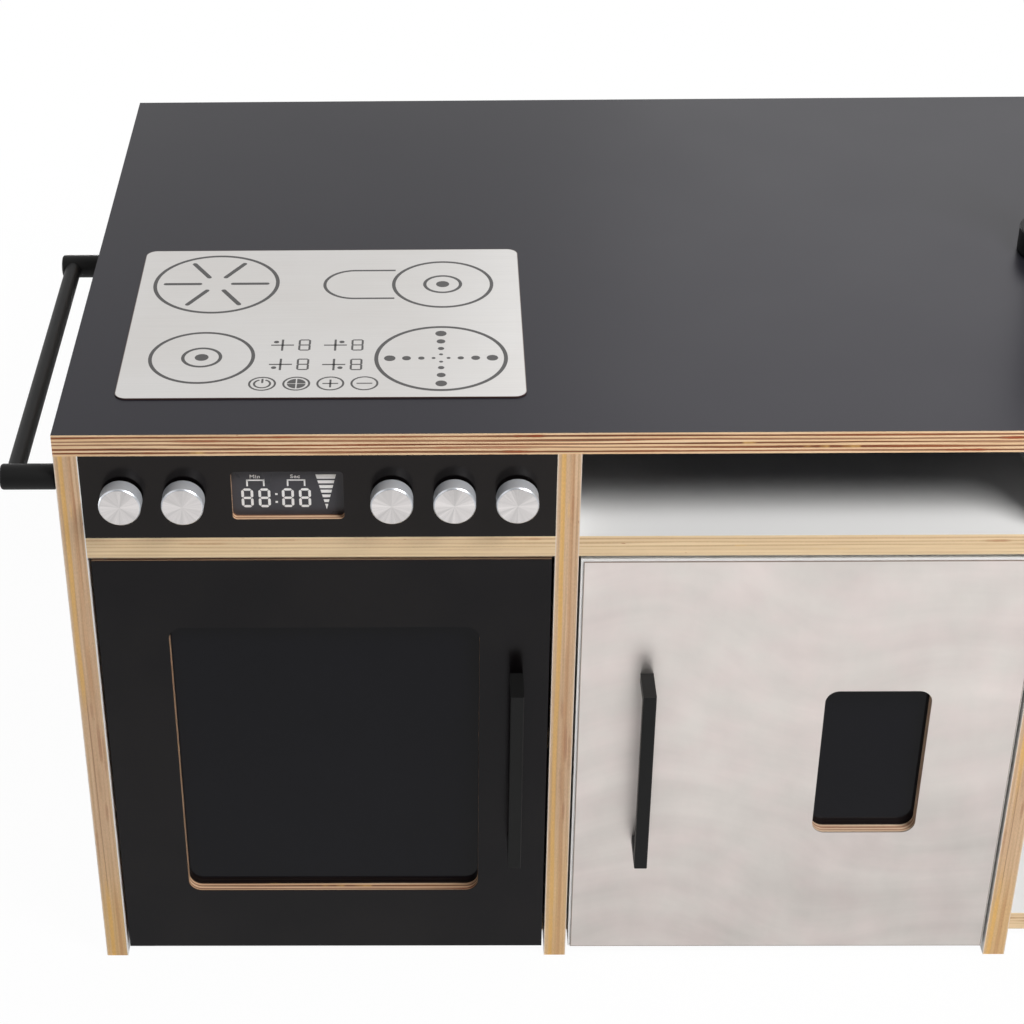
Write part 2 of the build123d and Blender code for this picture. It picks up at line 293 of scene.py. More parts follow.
white_line = upright.ramp(abs(through - 0.5), 0.452, 0.46)
inner = (through > 0.5) * (x < panel_low.x + panel_pitch / 2)
edge = upright.blend(white_line * (inner * 0.6 + 0.4), edge, tint(246, 244, 240))
upright.paint("Base Color", upright.blend(upright.square_to(0), edge, white_face(upright)))
dress(upright, "side_panel_left", "divider_left", "divider_right", "side_panel_right")


# Level boards. The boards over the doors, the inner shelves and the base boards sit between the panels.
# They are the same plywood, white above and below, and a shade yellower and paler at the front edge.

def white_board(name, low, high):
    """The finish of a level board whose plies lie one above the other between two heights."""
    finish = Finish(name)
    x, y, z = finish.parts(finish.place())
    through = (z - low) / (high - low)
    edge = bare_ply(
        finish,
        through=through,
        along=x + y,
        plies=board_plies,
        pale=(tint(238, 211, 171), tint(227, 198, 156)),
        dark=(tint(208, 170, 128), tint(194, 156, 116)),
        ruddy=tint(170, 104, 56),
        contrast=finish.ramp(through, 0.25, 0.6) * 0.45 + 0.25,
    )
    underside = finish.ramp(through, 0.03, 0.02)
    edge = finish.blend(underside, edge, tint(196, 176, 146))
    finish.paint("Base Color", finish.blend(finish.square_to(2), edge, white_face(finish)))
    return finish


for kind, bays in (("roof_board", 2), ("inner_shelf", 2), ("base_board", 3)):
    boards = [bay + "_" + kind for bay in ("oven", "fridge", "sink")[:bays]]
    low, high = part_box(boards[0])
    dress(white_board("white_" + kind, low.z, high.z), *boards)


# Backs. Three thin boards, white all over like the faces of the rest, close the bays behind. The middle
# one is also the white back wall of the open shelf.

thin_back = Finish("white_back")
thin_back.paint("Base Color", white_face(thin_back))
dress(thin_back, "oven_back_panel", "fridge_back_panel", "sink_back_panel")


# Control panel. A band of thin plywood faced with satin black laminate, pierced for the display and the
# five knobs. The bare plies show in the edge of the window.

def black_face(finish, level, gloss, sheen):
    """Satin black laminate with faint wipe marks and a fine grain. Level is its darkest tone on a screen,
    and sheen tints its gloss."""
    wipe = finish.cloud(finish.place(), 9, 5)
    grain = finish.cloud(finish.place(), 1100, 1)
    finish.paint("Roughness", 0.12 + wipe * 0.18)
    finish.paint("Specular IOR Level", gloss)
    finish.paint("Specular Tint", sheen)
    finish.paint("Normal", finish.bump(grain, 0.00001))
    cloudy = finish.ramp(wipe, 0.34, 0.68)
    dark = tint(level + 1, level - 1, level)
    return finish.blend(cloudy, dark, tint(level + 12, level + 9, level + 8))


def black_board(name, low, high, plies, level, gloss, sheen):
    """The finish of a black faced upright board whose plies lie one behind the other."""
    finish = Finish(name)
    x, y, z = finish.parts(finish.place())
    through = (y - low) / (high - low)
    edge = bare_ply(
        finish,
        through=through,
        along=x + z,
        plies=plies,
        pale=(tint(228, 194, 162), tint(208, 172, 138)),
        dark=(tint(140, 96, 70), tint(122, 84, 62)),
        ruddy=tint(130, 62, 40),
    )
    front_line = finish.ramp(through, 0.055, 0.04)
    edge = finish.blend(front_line, edge, tint(66, 42, 34))
    face = black_face(finish, level, gloss, sheen)
    finish.paint("Base Color", finish.blend(finish.square_to(1), edge, face))
    return finish


low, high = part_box("control_panel")
plies = 7
warm = (1.0, 0.93, 0.9, 1.0)
black_panel = black_board("black_control_panel", low.y, high.y, plies, level=5, gloss=0.26, sheen=warm)
dress(black_panel, "control_panel")


# Display. A dark pane lies in a rebate behind the window. On it are printed, in off-white, four digits
# with a colon, a bracket with a word over each pair, and a pointed scale of seven bars.

def surface(name, points, ring=False):
    """Makes a mesh from a grid of points, rows by columns: each square of neighbours is a face. A ring
    joins the last column to the first. Points that fall together, as at a pole, are merged in piece."""
    rows, columns = points.shape[:2]
    squares = (np.arange(rows - 1), np.arange(columns if ring else columns - 1))
    row, column = np.meshgrid(*squares, indexing="ij")
    here, above = row * columns, (row + 1) * columns
    after = (column + 1) % columns
    faces = np.stack((here + column, here + after, above + after, above + column), axis=-1).reshape(-1, 4)
    mesh = bpy.data.meshes.new(name)
    mesh.from_pydata(points.reshape(-1, 3).tolist(), [], faces.tolist())
    return mesh


def piece(name, meshes, finish, body, closed=True, crease=40):
    """Joins meshes into one piece, merges doubled points, turns its faces outwards, smooths all but the
    sharp edges, and lets it ride its body."""
    whole = bmesh.new()
    for mesh in meshes:
        whole.from_mesh(mesh)
        bpy.data.meshes.remove(mesh)
    bmesh.ops.remove_doubles(whole, verts=whole.verts, dist=1e-7)
    if closed:
        bmesh.ops.recalc_face_normals(whole, faces=whole.faces)
    mesh = bpy.data.meshes.new(name)
    whole.to_mesh(mesh)
    whole.free()
    if closed:
        mesh.shade_smooth()
        mesh.set_sharp_from_angle(angle=math.radians(crease))
    mesh.materials.append(finish.material)
    made = bpy.data.objects.new(name, mesh)
    bpy.context.scene.collection.objects.link(made)
    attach(made, body)
    return made


def thicken(made):
    """Gives flat marks the thickness of print, above the surface they are printed on."""
    solid = made.modifiers.new("print", "SOLIDIFY")
    solid.thickness = 0.00008
    solid.offset = 1


def bar(start, end, width, ends="round"):
    """A flat bar along a line. Its half width is full in the middle, and at the ends it falls off as a
    circle does, or straight for pointed ends, or not at all for square ends."""
    start, end = np.array(start, float), np.array(end, float)
    span = np.linalg.norm(end - start)
    share = (1 - np.cos(np.linspace(0, np.pi, 25))) / 2
    if ends == "pointed":
        share = np.array([0, width / 2 / span, 1 - width / 2 / span, 1])
    to_end = np.minimum(share, 1 - share) * span
    near = np.clip(to_end / (width / 2), 0, 1)
    form = {"round": np.sqrt(1 - (1 - near) ** 2), "pointed": near, "square": np.ones_like(near)}[ends]
    across = np.array([start[1] - end[1], end[0] - start[0]]) / span
    middle = start + (end - start) * share[:, None]
    side = across * (form * width / 2)[:, None]
    return np.stack((middle + side, middle - side)), False


def eight(x, y, wide, high, width, gap=0.3):
    """A seven-bar figure eight from its lower left corner: two bars up each side and three across."""
    left, right = x + width / 2, x + wide - width / 2
    low, high = y + width / 2, y + high - width / 2
    middle = (low + high) / 2
    bars = []
    for level in (low, middle, high):
        bars.append(bar((left + gap, level), (right - gap, level), width, "pointed"))
    for side in (left, right):
        for first, last in ((low, middle), (middle, high)):
            bars.append(bar((side, first + gap), (side, last - gap), width, "pointed"))
    return bars


def laid(marks, stand):
    """Meshes of flat marks, given in millimetres as two numbers a point. stand places them in space."""
    return [surface("mark", stand(points) / 1000, ring=whole) for points, whole in marks]


worktop_left = worktop_low.x * 1000
worktop_top = worktop_high.z * 1000
pane_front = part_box("display_pane")[0].y * 1000
print_gap = 0.02


def on_pane(points):
    """Places points, right from the worktop's left end and up from its top, on the pane's face."""
    face = np.full(points.shape[:-1], pane_front - print_gap)
    return np.stack((worktop_left + points[..., 0], face, worktop_top + points[..., 1]), axis=-1)


display_marks = []
digit_foot, digit_wide, digit_high = -65.2, 8.7, 16.1
for left in (132.5, 144.9, 161.9, 174.2):
    display_marks += eight(left, digit_foot, digit_wide, digit_high, 1.95)
colon_left, colon_right = 157.0, 158.8
for height in (-54.0, -60.7):
    display_marks.append(bar((colon_left, height), (colon_right, height), 1.5, "square"))
bracket_top, bracket_foot = -42.1, -47.2
for left, right in ((136.5, 149.8), (165.8, 179.2)):
    display_marks.append(bar((left, bracket_top), (right, bracket_top), 1.1, "square"))
    for side in (left + 0.6, right - 0.6):
        display_marks.append(bar((side, bracket_foot), (side, bracket_top), 1.2, "square"))
scale_tip = np.array((194.05, -67.2))
scale_high, scale_half = 29.8, 7.45
scale_bars = ((0, 3.7), (5.0, 7.6), (9.1, 11.7), (13.0, 15.6), (17.1, 19.5), (21.2, 23.6), (25.2, 29.8))
for top, foot in scale_bars:
    share = 1 - np.array((top, foot))[:, None] / scale_high
    across = np.array((-scale_half, scale_half)) * share
    up = np.broadcast_to(scale_high * share, across.shape)
    display_marks.append((np.stack((across, up), axis=-1) + scale_tip, False))

pane_face = Finish("dark_display")
haze = pane_face.cloud(pane_face.place(), 60, 4)
pane_face.paint("Base Color", pane_face.blend(haze, tint(54, 53, 58), tint(70, 68, 72)))
pane_face.paint("Roughness", 0.22 + haze * 0.15)
pane_face.paint("Specular IOR Level", 0.3)
dress(pane_face, "display_pane")

pale_print = Finish("pale_print")
fleck = pale_print.cloud(pale_print.place(), 2500, 2)
pale_print.paint("Base Color", pale_print.blend(fleck, tint(232, 229, 227), tint(250, 248, 246)))

words = []
word_foot = -40.3
word_stretch = (1.2, 1)
for word, left in (("Min", 139.0), ("Sec", 168.3)):
    curve = bpy.data.curves.new(word, "FONT")
    curve.body = word
    curve.size = 4.1
    curve.offset = 0.1
    curve.space_character = 1.08
    written = bpy.data.objects.new(word, curve)
    bpy.context.scene.collection.objects.link(written)
    bpy.context.view_layer.update()
    mesh = bpy.data.meshes.new_from_object(written)
    bpy.data.objects.remove(written)
    flat = np.zeros(len(mesh.vertices) * 3)
    mesh.vertices.foreach_get("co", flat)
    placed = on_pane(flat.reshape(-1, 3)[:, :2] * word_stretch + (left, word_foot)) / 1000
    mesh.vertices.foreach_set("co", placed.ravel())
    words.append(mesh)
marks = laid(display_marks, on_pane) + words
thicken(piece("display_print", marks, pale_print, "carcass", closed=False))


# Knobs. Five turned aluminium caps, each with a cut face, a bright bevel round it and a brushed side. Each
# one is pressed on a black shaft that turns in the panel and snaps in behind it.

def turned(outline, centre, axis, steps=128):
    """A shape turned about an axis through centre: each (radius, distance along the axis) point of the
    outline goes once round. Axis is the index of x, y or z."""
    outline = np.asarray(outline, float)
    angle = np.linspace(0, 2 * np.pi, steps, endpoint=False)
    radius, along = outline[:, :1], np.repeat(outline[:, 1:], steps, axis=1)
    across, up = radius * np.cos(angle), radius * np.sin(angle)
    grid = {0: (along, across, up), 1: (across, along, up), 2: (across, up, along)}[axis]
    return surface("turned", (np.stack(grid, axis=-1) + np.asarray(centre)) / 1000, ring=True)


def eased(corners, round_by, steps=5):
    """An outline with each inner corner replaced by a curve from a, which is round_by before the corner, to
    b, round_by after it: (1-t)(1-t) times a, plus 2t(1-t) times the corner, plus tt times b."""
    corners = np.asarray(corners, float)
    t = np.linspace(0, 1, steps)[:, None]
    line = [corners[:1]]
    for before, corner, after in zip(corners[:-2], corners[1:-1], corners[2:]):
        a = corner + (before - corner) * min(0.5, round_by / np.linalg.norm(before - corner))
        b = corner + (after - corner) * min(0.5, round_by / np.linalg.norm(after - corner))
        line.append((1 - t) ** 2 * a + 2 * t * (1 - t) * corner + t ** 2 * b)
    line.append(corners[-1:])
    return np.concatenate(line)


def spun_aluminium(name, x, z):
    """Turned aluminium. The cut face has rings so fine that they only spread the light along the radius:
    the normal tips out and in as a wave of the distance from the centre. The side is brushed round. The
    cut face's colour also carries a painted highlight: a sunburst of rays, brightest at the sides."""
    finish = Finish(name)
    across, back, height = finish.parts(finish.place())
    right, up = across - x, height - z
    radius = finish.root(right * right + up * up)
    right, up = right / radius, up / radius
    wave = finish.sum("SINE", radius * 42000, 0) * 0.2
    out = finish.vector(right * wave, 0, up * wave)
    straight = finish.facing()
    rearward = finish.parts(straight)[1]
    face = finish.ramp(rearward, -0.9, -0.98)
    tipped = finish.node("VectorMath", {"operation": "ADD"}, {0: finish.shade(out, face), 1: straight})
    turn = {"vector_type": "NORMAL", "convert_from": "OBJECT", "convert_to": "WORLD"}
    finish.paint("Normal", finish.node("VectorTransform", turn, {0: tipped}))
    cut = finish.noise(radius * 3000, 0, 0, detail=3)
    brushed = finish.noise(back * 4000, 0, 0, detail=3)
    # Painted highlight: a sunburst of rays by angle, brightest to the left and right, lightens the face.
    sunburst_highlight = finish.noise(right * 3.4, x * 90, up * 3.4, detail=5)
    level = right * right
    tone = finish.blend(cut, tint(212, 208, 207), tint(230, 226, 225))
    tone = finish.shade(tone, 0.6 + sunburst_highlight * 0.64 + level * level * level * 0.12)
    side = finish.blend(brushed, tint(196, 200, 206), tint(216, 219, 223))
    finish.paint("Base Color", finish.blend(face, side, tone))
    cut_metal = finish.ramp(rearward, -0.3, -0.6)
    finish.paint("Roughness", 0.5 - cut_metal * 0.2 - face * 0.08)
    finish.paint("Metallic", 0.6 + cut_metal * 0.4)
    return finish


shaft_black = Finish("black_shaft", roughness=0.45)
grain = shaft_black.cloud(shaft_black.place(), 1500, 2)
shaft_black.paint("Base Color", shaft_black.blend(grain, tint(24, 24, 25), tint(36, 36, 37)))
shaft_black.paint("Normal", shaft_black.bump(grain, 0.00003))

face_bevel, back_bevel, edge_round = 1.0, 0.5, 0.25
for number in range(1, 6):
    low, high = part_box(f"knob_{number}_cap")
    middle = (low + high) * 500
    reach = (high.x - low.x) * 500
    front, back = low.y * 1000, high.y * 1000
    corners = [(0, back), (reach - back_bevel, back), (reach, back - back_bevel)]
    corners += [(reach, front + face_bevel), (reach - face_bevel, front), (0, front)]
    aluminium = spun_aluminium(f"spun_aluminium_{number}", middle.x / 1000, middle.z / 1000)
    cap = turned(eased(corners, edge_round), (middle.x, 0, middle.z), axis=1)
    body = f"knob_{number}_body"
    cap = piece(f"knob_{number}_spun_cap", [cap], aluminium, body, crease=30)
    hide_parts(f"knob_{number}_cap")
    dress(shaft_black, f"knob_{number}_shaft")


# Oven door. Plywood with satin black laminate on both faces. The window's edge shows the bare plies, as
# does the door's rim, and a dark pane lies in a rebate behind it.

low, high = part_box("oven_door")
neutral = (0.97, 0.96, 1.0, 1.0)
black_door = black_board("black_oven_door", low.y, high.y, board_plies, level=4, gloss=0.2, sheen=neutral)
dress(black_door, "oven_door")


# Fridge door. The same board in white laminate, of which only a narrow border shows beside the steel. Its
# rim is edged in white too, so that bare plies show in the window alone.

def to_rim(finish, x, z, low, high):
    """How far a point of an upright sheet lies from the nearest of its four sides, in metres."""
    to_side = finish.sum("MINIMUM", x - low.x, high.x - x)
    return finish.sum("MINIMUM", to_side, finish.sum("MINIMUM", z - low.z, high.z - z))


low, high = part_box("fridge_door")
white_door = Finish("white_fridge_door")
x, y, z = white_door.parts(white_door.place())
edge = bare_ply(
    white_door,
    through=(y - low.y) / (high.y - low.y),
    along=x + z,
    plies=board_plies,
    pale=(tint(216, 190, 162), tint(200, 172, 146)),
    dark=(tint(170, 124, 98), tint(156, 114, 92)),
    ruddy=tint(130, 70, 48),
)
rim = white_door.ramp(to_rim(white_door, x, z, low, high), 0.0008, 0.0004)
edge = white_door.blend(rim, edge, tint(252, 249, 243))
bright = white_door.shade(white_face(white_door), 1.14)
white_door.paint("Base Color", white_door.blend(white_door.square_to(1), edge, bright))
dress(white_door, "fridge_door")


# Steel sheet. A thin sheet of wiped stainless steel, glued to the fridge door's face and cut out for the
# window. It is cloudy rather than brushed, with soft smudges and wipe marks. Its colour also carries a
# painted reflection, darker towards the bottom, and a thin dark line of painted shade round its edge.

low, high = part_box("fridge_door_skin")
wiped_steel = Finish("wiped_steel", metallic=1.0)
place = wiped_steel.place()
x, y, z = wiped_steel.parts(place)
cloudy = wiped_steel.cloud(place, 5, 6)
arc = (wiped_steel.cloud(place, 3, 1) - 0.5) * 0.5
wiped = wiped_steel.noise(x * 6 + arc * 8, y, (z + arc * 0.6) * 46, detail=5)
smudge = wiped_steel.noise(x * 34, y, z * 20, detail=6)
hue = wiped_steel.noise(x * 24, y + 3, z * 30, detail=5)
tone = wiped_steel.blend(wiped_steel.ramp(hue, 0.3, 0.7), tint(217, 211, 206), tint(220, 210, 206))
# Painted shade: a thin dark brown line round the sheet's edge.
rim = wiped_steel.ramp(to_rim(wiped_steel, x, z, low, high), 0.0008, 0.0003)
tone = wiped_steel.blend(rim, tone, tint(142, 128, 118))
# Painted reflection: the sheet darkens towards the bottom, for the darker floor it mirrors near the door.
height = wiped_steel.ramp(z, low.z - 0.02, low.z + 0.3)
tone = wiped_steel.shade(tone, 0.63 + smudge * 0.2 + wiped * 0.26 + height * 0.21)
wiped_steel.paint("Base Color", tone)
wiped_steel.paint("Roughness", 0.3 + cloudy * 0.16)
dress(wiped_steel, "fridge_door_skin")


# Door panes. Two glossy black sheets, one to each door. They are pressed from behind into the rebates
# round the windows.

pane_black = Finish("black_pane")
film = pane_black.cloud(pane_black.place(), 14, 4)
pane_black.paint("Base Color", pane_black.blend(film, tint(8, 8, 14), tint(14, 14, 20)))
pane_black.paint("Roughness", 0.06 + film * 0.1)
pane_black.paint("Specular IOR Level", 0.16)
dress(pane_black, "oven_window", "fridge_window")


# Handles. Flat steel bars bent into a D and powder coated matt black. Each is held by two screws that go
# in through the door from behind.

powder = Finish("black_powder_coat")
peel = powder.cloud(powder.place(), 1300, 2)
powder.paint("Base Color", powder.blend(peel, tint(16, 16, 16), tint(24, 24, 24)))
powder.paint("Roughness", 0.4 + peel * 0.2)
powder.paint("Specular IOR Level", 0.17)
powder.paint("Normal", powder.bump(peel, 0.00006))
dress(powder, "oven_handle", "fridge_handle")

bright_zinc = Finish("bright_zinc", metallic=1.0)
bloom = bright_zinc.cloud(bright_zinc.place(), 220, 4)
bright_zinc.paint("Base Color", bright_zinc.blend(bloom, tint(176, 180, 184), tint(206, 208, 208)))
bright_zinc.paint("Roughness", 0.25 + bloom * 0.25)


def screw_head(centre, axis, way, radius=3.6, rise=1.7):
    """A low domed head with a round socket: its outline rises as a quarter ellipse from the rim and drops
    again into the socket. way is the direction, 1 or -1, in which it stands proud along the axis."""
    hole = radius * 0.38
    lean = np.linspace(0, np.pi / 2, 9)
    dome = np.stack((hole + (radius - hole) * np.cos(lean), rise * np.sin(lean)), axis=1)
    socket = [(hole, rise * 0.3), (0, rise * 0.25)]
    outline = np.concatenate(([(0, 0)], dome, socket))
    outline[:, 1] *= way
    return turned(outline, centre, axis, steps=20)


screw_inset = 4
for bay in ("oven", "fridge"):
    door_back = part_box(bay + "_door")[1].y * 1000
    low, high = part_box(bay + "_handle")
    middle = (low + high) * 500
    heads = []
    for height in (low.z * 1000 + screw_inset, high.z * 1000 - screw_inset):
        heads.append(screw_head((middle.x, door_back, height), axis=1, way=1))
    piece(bay + "_handle_screws", heads, bright_zinc, bay + "_door_body")


# Pivots and catches. Zinc plated plates with pins carry each door, one screwed under its base board and one
# under its roof board. A black magnet block meets a small steel plate on the door's back.

moulding = Finish("black_moulding")
grain = moulding.cloud(moulding.place(), 1200, 2)
moulding.paint("Base Color", moulding.blend(grain, tint(26, 26, 27), tint(38, 38, 39)))
moulding.paint("Normal", moulding.bump(grain, 0.00005))

plate_thickness = 1.5
for bay in ("oven", "fridge"):
    dress(bright_zinc, bay + "_hinge_plates", bay + "_strike_plate")
    dress(moulding, bay + "_magnet_catch")
    low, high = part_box(bay + "_hinge_plates")
    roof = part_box(bay + "_roof_board")[0].z * 1000
    heads = []
    for height in (low.z * 1000, roof - plate_thickness):
        for back in (18, 44):
            place = ((low.x + high.x) * 500, low.y * 1000 + back, height)
            heads.append(screw_head(place, axis=2, way=-1, radius=3.0, rise=1.0))
    piece(bay + "_hinge_screws", heads, bright_zinc, "carcass")


# Hob. A thin satin steel plate with rounded corners, glued on the worktop. The four rings, their setting
# marks and the row of four buttons are printed on it in dark grey. Its laser-cut rim is painted dark
# brown, as painted shade on the plate's edge.

def strip(line, half, closed=False):
    """A flat line with a width: each point of the line is moved to both sides by half the width, square to
    the way the line runs."""
    line = np.asarray(line, float)
    if closed:
        way = np.roll(line, -1, axis=0) - np.roll(line, 1, axis=0)
    else:
        way = np.gradient(line, axis=0)
    way /= np.linalg.norm(way, axis=1, keepdims=True)
    side = np.stack((-way[:, 1], way[:, 0]), axis=1) * half
    return np.stack((line + side, line - side))


def circle(x, y, radius, width, turn=(0, 360), steps=96):
    """A flat ring or part of one: points at one radius, from one angle to the other, carried as a strip."""
    whole = turn[1] - turn[0] == 360
    angle = np.radians(np.linspace(*turn, steps, endpoint=not whole))
    line = np.stack((x + radius * np.cos(angle), y + radius * np.sin(angle)), axis=1)
    return strip(line, width / 2, closed=whole), whole


def dot(x, y, radius, steps=40):
    """A flat disc, as a ring whose inner edge is its centre."""
    return circle(x, y, radius / 2, radius, steps=steps)


hob_steel = Finish("satin_hob_steel")
place = hob_steel.place()
x, y, z = hob_steel.parts(place)
cloudy = hob_steel.cloud(place, 8, 5)
brush = hob_steel.noise(x * 12, y * 900, 0, detail=2)
tone = hob_steel.blend(hob_steel.ramp(cloudy, 0.3, 0.7), tint(202, 199, 196), tint(206, 204, 202))
low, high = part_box("hob_plate")
corner = 0.009
past_x = abs(x - (low.x + high.x) / 2) - ((high.x - low.x) / 2 - corner)
past_y = abs(y - (low.y + high.y) / 2) - ((high.y - low.y) / 2 - corner)
past_x = hob_steel.sum("MAXIMUM", past_x, 0)
past_y = hob_steel.sum("MAXIMUM", past_y, 0)
reach = hob_steel.root(past_x * past_x + past_y * past_y)
# Painted shade: a dark brown line round the plate's rim, where its metal is also made dull.
rim_shade = hob_steel.ramp(reach, corner - 0.0009, corner - 0.0002)
tone = hob_steel.blend(rim_shade, tone, tint(70, 48, 44))
hob_steel.paint("Base Color", hob_steel.shade(tone, 0.98 + brush * 0.12))
hob_steel.paint("Metallic", 1 - rim_shade * 0.8)
hob_steel.paint("Roughness", 0.25 + cloudy * 0.1)
dress(hob_steel, "hob_plate")

hob_left, hob_front, hob_top = low.x * 1000, low.y * 1000, high.z * 1000


def on_hob(points):
    """Places points, right from the hob plate's left edge and back from its front edge, on the plate."""
    level = np.full(points.shape[:-1], hob_top + print_gap / 2)
    return np.stack((hob_left + points[..., 0], hob_front + points[..., 1], level), axis=-1)


def toward(degrees):
    """The way an angle points on the plate, as one or more points at a distance of 1."""
    angle = np.radians(degrees)
    return np.stack((np.cos(angle), np.sin(angle)), axis=-1)


star, crossed = np.array((61.1, 181.0)), np.array((238.4, 58.3))
hob_marks = [circle(*star, 48.5, 3.0), circle(*crossed + (0, 0.3), 48.4, 3.0)]
for spoke in toward(np.arange(0, 360, 60)):
    hob_marks.append(bar(star + spoke * 11.3, star + spoke * 42.0, 3.8))
for spoke in toward(np.arange(0, 360, 90)):
    for away, radius in ((5.6, 1.5), (14.7, 2.4), (25.8, 3.3), (38.3, 4.3)):
        hob_marks.append(dot(*crossed + spoke * away, radius, steps=32))
for x, y in ((240.0, 178.4), (59.3, 61.1)):
    hob_marks += [circle(x, y, 38.6, 2.8), circle(x, y, 14.1, 2.6), dot(x, y, 5.2)]
bridge = np.array((170.9, 178.8)) + 23.9 * toward(np.linspace(90, 270, 40))
bridge = np.concatenate(([(202.6, 202.7)], bridge, [(202.2, 154.9)]))
hob_marks.append((strip(bridge, 1.25), False))

timers = ((118.9, 79.6, -1, 1), (158.8, 79.2, 1, 1), (118.9, 49.8, -1, -1), (158.6, 49.2, 1, -1))
half_wide, half_high = 8.6, 8.7
for x, y, right, up in timers:
    hob_marks.append(bar((x - half_wide, y), (x + half_wide, y), 1.7, "square"))
    hob_marks.append(bar((x, y - half_high), (x, y + half_high), 1.7, "square"))
    hob_marks.append(dot(x + right * 4.8, y + up * 4.9, 2.0, steps=24))
    hob_marks += eight(x + 12.0, y - half_high, 9.3, half_high * 2, 1.6, gap=0.0)

power, window, plus, minus = 107.0, 132.1, 157.1, 182.1
button_row = 20.8
for x in (power, window, plus, minus):
    hob_marks.append(circle(x, button_row, 9.5, 1.6, steps=64))
hob_marks.append(circle(power, button_row, 5.9, 1.6, turn=(112, 428), steps=48))
hob_marks.append(bar((power, button_row + 1.0), (power, button_row + 7.5), 1.6))
sign_half = 5.8
for x in (plus, minus):
    hob_marks.append(bar((x - sign_half, button_row), (x + sign_half, button_row), 1.5, "square"))
hob_marks.append(bar((plus, button_row - sign_half), (plus, button_row + sign_half), 1.5, "square"))
for start in range(0, 360, 90):
    rim = (window, button_row) + 6.9 * toward(np.linspace(start + 4, start + 86, 16))
    tip = (window, button_row) + 0.7 * toward(start + 45)
    hob_marks.append((np.stack((rim, np.broadcast_to(tip, rim.shape))), False))

dark_print = Finish("dark_print", roughness=0.45)
fleck = dark_print.cloud(dark_print.place(), 1800, 2)
dark_print.paint("Base Color", dark_print.blend(fleck, tint(62, 60, 60), tint(80, 78, 77)))
thicken(piece("hob_print", laid(hob_marks, on_hob), dark_print, "carcass", closed=False))


# Towel rail. A round steel bar is let into two thicker posts, whose outer edges are rounded. All of it is
# powder coated matt black, and the posts are screwed to the left panel from inside.

low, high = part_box("rail_posts")
radius = (high.z - low.z) * 500
axis_height = (low.z + high.z) * 500
outer, inner = low.x * 1000, high.x * 1000
edge_round = 2.6
posts = []
for middle in (low.y * 1000 + radius, high.y * 1000 - radius):
    corners = [(0, outer), (radius, outer), (radius, inner), (0, inner)]
    outline = eased(corners, edge_round, steps=9)
    posts.append(turned(outline, (0, middle, axis_height), axis=0, steps=96))
posts = piece("rounded_rail_posts", posts, powder, "carcass", crease=30)
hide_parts("rail_posts")
dress(powder, "rail_bar")


# Sink. One bowl pressed from thin steel, with a flat rim on the worktop, soft bends down to the floor and a
# strainer in the middle.

def round_box(half_wide, half_deep, corner, steps=16):
    """A rectangle with round corners, as points once round: four quarter circles, each about its own
    corner's centre."""
    angle = np.radians(np.linspace(0, 90, steps))
    loop = []
    for quarter, (right, back) in enumerate(((1, 1), (-1, 1), (-1, -1), (1, -1))):
        turn = angle + quarter * np.pi / 2
        across = right * (half_wide - corner) + corner * np.cos(turn)
        deep = back * (half_deep - corner) + corner * np.sin(turn)
        loop.append(np.stack((across, deep), axis=1))
    return np.concatenate(loop)


low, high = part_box("sink_basin")
middle = (low + high) * 500
half_wide, half_deep = (high.x - low.x) * 500, (high.y - low.y) * 500
rim = high.z * 1000
rim_inside, wall_foot, bowl_depth, rim_corner = 13.2, 17, 78, 42
soft_bend = 9
levels = [(0, -1.0), (0.2, 0), (rim_inside, 0), (wall_foot, 2 - bowl_depth)]
levels = eased([*levels, (96, -bowl_depth), (118, -bowl_depth - 0.2)], soft_bend, steps=9)
levels[0] = (0, -1.1)
loops = []
for inwards, height in levels:
    wide = half_wide - min(inwards, half_wide - 5)
    deep = half_deep - min(inwards * half_deep / half_wide, half_deep - 5)
    loop = round_box(wide, deep, corner=max(rim_corner - inwards * 0.45, 4))
    loops.append(np.column_stack((loop + (middle.x, middle.y), np.full(len(loop), rim + height))))
bowl_steel = Finish("bowl_steel", metallic=1.0)
x, y, z = bowl_steel.parts(bowl_steel.place())
brush = bowl_steel.noise(x * 40, y * 900, z * 40, detail=2)
bowl_steel.paint("Base Color", bowl_steel.blend(brush, tint(186, 186, 187), tint(208, 208, 208)))
bowl_steel.paint("Roughness", 0.26 + brush * 0.14)
bowl = surface("bowl", np.array(loops) / 1000, ring=True)
bowl = piece("pressed_bowl", [bowl], bowl_steel, "carcass")
wall = bowl.modifiers.new("wall", "SOLIDIFY")
wall.thickness = 0.0009
wall.offset = -1
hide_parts("sink_basin")

corners = [(0, -75.5), (9, -75.3), (14, -74.2), (17, -73.8), (21, -75.5)]
corners += [(21.5, -bowl_depth), (0, -bowl_depth)]
strainer = turned(eased(corners, 1.2), (middle.x, middle.y, rim), axis=2, steps=64)
drain_steel = Finish("drain_steel", roughness=0.25)
x, y, z = drain_steel.parts(drain_steel.place())
hole_pitch = 0.005
across = (x - middle.x / 1000) / hole_pitch
back = (y - middle.y / 1000) / hole_pitch
hole_x = drain_steel.rest(across + 0.5) - 0.5
hole_y = drain_steel.rest(back + 0.5) - 0.5
# Painted shade: the holes are not cut; black dots are painted where the dark inside of each would show.
hole = drain_steel.ramp(hole_x * hole_x + hole_y * hole_y, 0.1, 0.07)
inside = drain_steel.ramp(across * across + back * back, 6.6, 6.4)
drain_steel.paint("Base Color", drain_steel.blend(hole * inside, tint(200, 200, 200), tint(8, 8, 8)))
drain_steel.paint("Metallic", 1 - hole * inside)
piece("sink_strainer", [strainer], drain_steel, "carcass")


# Tap. A round foot and body stand on the worktop, and a pillar turns in them with an arm that reaches over
# the bowl and bends down at its end. All of it is turned or bent steel, powder coated matt black.

